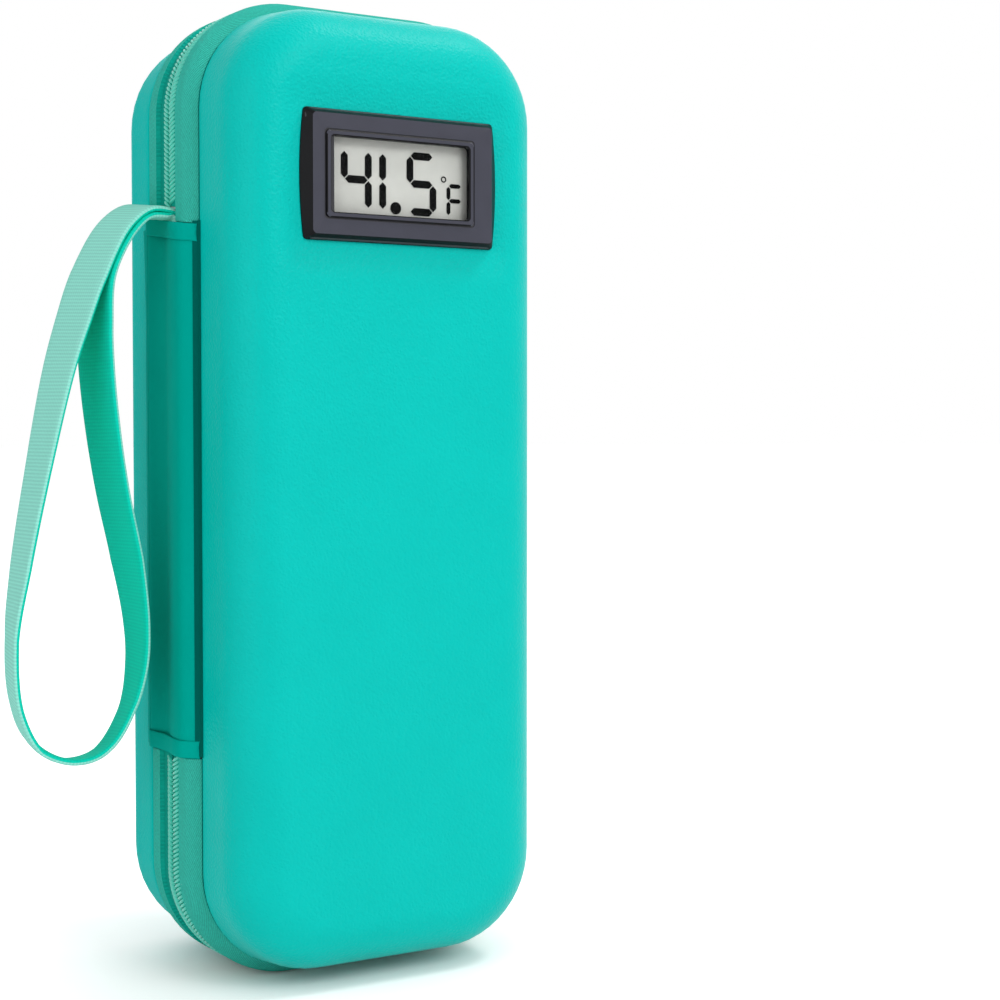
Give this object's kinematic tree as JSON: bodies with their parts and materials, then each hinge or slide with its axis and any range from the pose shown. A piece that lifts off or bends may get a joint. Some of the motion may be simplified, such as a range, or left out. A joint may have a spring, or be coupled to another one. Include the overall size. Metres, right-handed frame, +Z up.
{
  "type": "insulin cooling case",
  "caption": "Zipped clamshell travel case with a thermometer display in its lid, insulating liners, gel ice packs held by elastic bands, a hinged spine panel and a wrist strap.",
  "frame": {"origin": "middle of the bottom end that the case stands on, at mid depth", "axes": "+Z up along the case's height, -Y out of the lid with the display, +X towards the zip sliders, spine panel and strap on -X"},
  "size_m": [0.1266, 0.0693, 0.223],
  "materials": {
    "shell": "PU leather over moulded foam, fine grain, satin",
    "spine": "soft PU leather, satin",
    "zip_tape": "woven polyester tape",
    "zip_coil": "nylon coil sewn on tape",
    "webbing": "ribbed webbing",
    "liner": "foil-faced insulating foam",
    "ice_pack": "satin blue gel pack",
    "elastic": "woven elastic",
    "housing": "moulded black plastic, satin",
    "lens": "clear window",
    "lcd": "grey-green reflective display",
    "board": "circuit board with solder mask",
    "steel": "plated steel",
    "rubber": "moulded rubber",
    "slider": "painted zinc zip slider"
  },
  "bodies": {
    "rear_case": {"rear_shell": "shell", "rear_liner": "liner", "rear_ice_pack": "ice_pack", "rear_band_upper": "elastic", "rear_band_lower": "elastic", "zip_tape_rear": "zip_tape", "zip_coil_rear": "zip_coil"},
    "spine": {"spine_panel": "spine", "spine_hem_top": "spine", "spine_hem_bottom": "spine", "strap_root": "webbing"},
    "strap_loop": {"wrist_strap": "webbing"},
    "front_lid": {"front_shell": "shell", "front_liner": "liner", "front_ice_pack": "ice_pack", "front_band_upper": "elastic", "front_band_lower": "elastic", "zip_tape_front": "zip_tape", "zip_coil_front": "zip_coil", "thermometer_bezel": "housing", "retaining_clip_left": "housing", "retaining_clip_right": "housing", "display_lens": "lens", "lcd_panel": "lcd", "lcd_connector_upper": "rubber", "lcd_connector_lower": "rubber", "circuit_board": "board", "battery_contact_left": "steel", "battery_contact_right": "steel", "button_cell_left": "steel", "button_cell_right": "steel", "battery_bridge": "steel", "unit_switch": "housing", "temperature_sensor": "steel", "thermometer_back_cover": "housing"},
    "battery_door": {"battery_door": "housing"},
    "unit_button": {"unit_button": "rubber"},
    "slider_upper": {"zip_slider_upper": "slider"},
    "slider_lower": {"zip_slider_lower": "slider"},
    "pull_upper": {"zip_pull_upper": "slider"},
    "pull_lower": {"zip_pull_lower": "slider"}
  },
  "joints": [
    {"name": "spine_fold", "type": "hinge", "parent": "rear_case", "child": "spine", "pos_m": [-0.0426, 0.0105, 0.11225], "axis": [0, 0, -1], "range_deg": [0, 90]},
    {"name": "lid_fold", "type": "hinge", "parent": "spine", "child": "front_lid", "pos_m": [-0.0426, -0.0143, 0.11225], "axis": [0, 0, -1], "range_deg": [0, 90]},
    {"name": "strap_swing", "type": "hinge", "parent": "spine", "child": "strap_loop", "pos_m": [-0.04555, 0.0016, 0.1769], "axis": [0, 1, 0], "range_deg": [0, 90]},
    {"name": "battery_door_slide", "type": "slide", "parent": "front_lid", "child": "battery_door", "axis": [-1, 0, 0], "range_m": [0, 0.014]},
    {"name": "unit_button_press", "type": "slide", "parent": "front_lid", "child": "unit_button", "axis": [0, -1, 0], "range_m": [0, 0.0008], "stiffness_N_per_m": 400},
    {"name": "slider_upper_run", "type": "slide", "parent": "rear_case", "child": "slider_upper", "axis": [0, 0, 1], "range_m": [0, 0.07]},
    {"name": "slider_lower_run", "type": "slide", "parent": "rear_case", "child": "slider_lower", "axis": [0, 0, -1], "range_m": [0, 0.07]},
    {"name": "pull_upper_swing", "type": "hinge", "parent": "slider_upper", "child": "pull_upper", "pos_m": [0.04565, -0.0036, 0.11935], "axis": [0, -1, 0], "range_deg": [0, 110]},
    {"name": "pull_lower_swing", "type": "hinge", "parent": "slider_lower", "child": "pull_lower", "pos_m": [0.04565, -0.0036, 0.10195], "axis": [0, -1, 0], "range_deg": [0, 110]}
  ],
  "couplings": [
    {"joint": "lid_fold", "follows": "spine_fold", "ratio": 1}
  ]
}
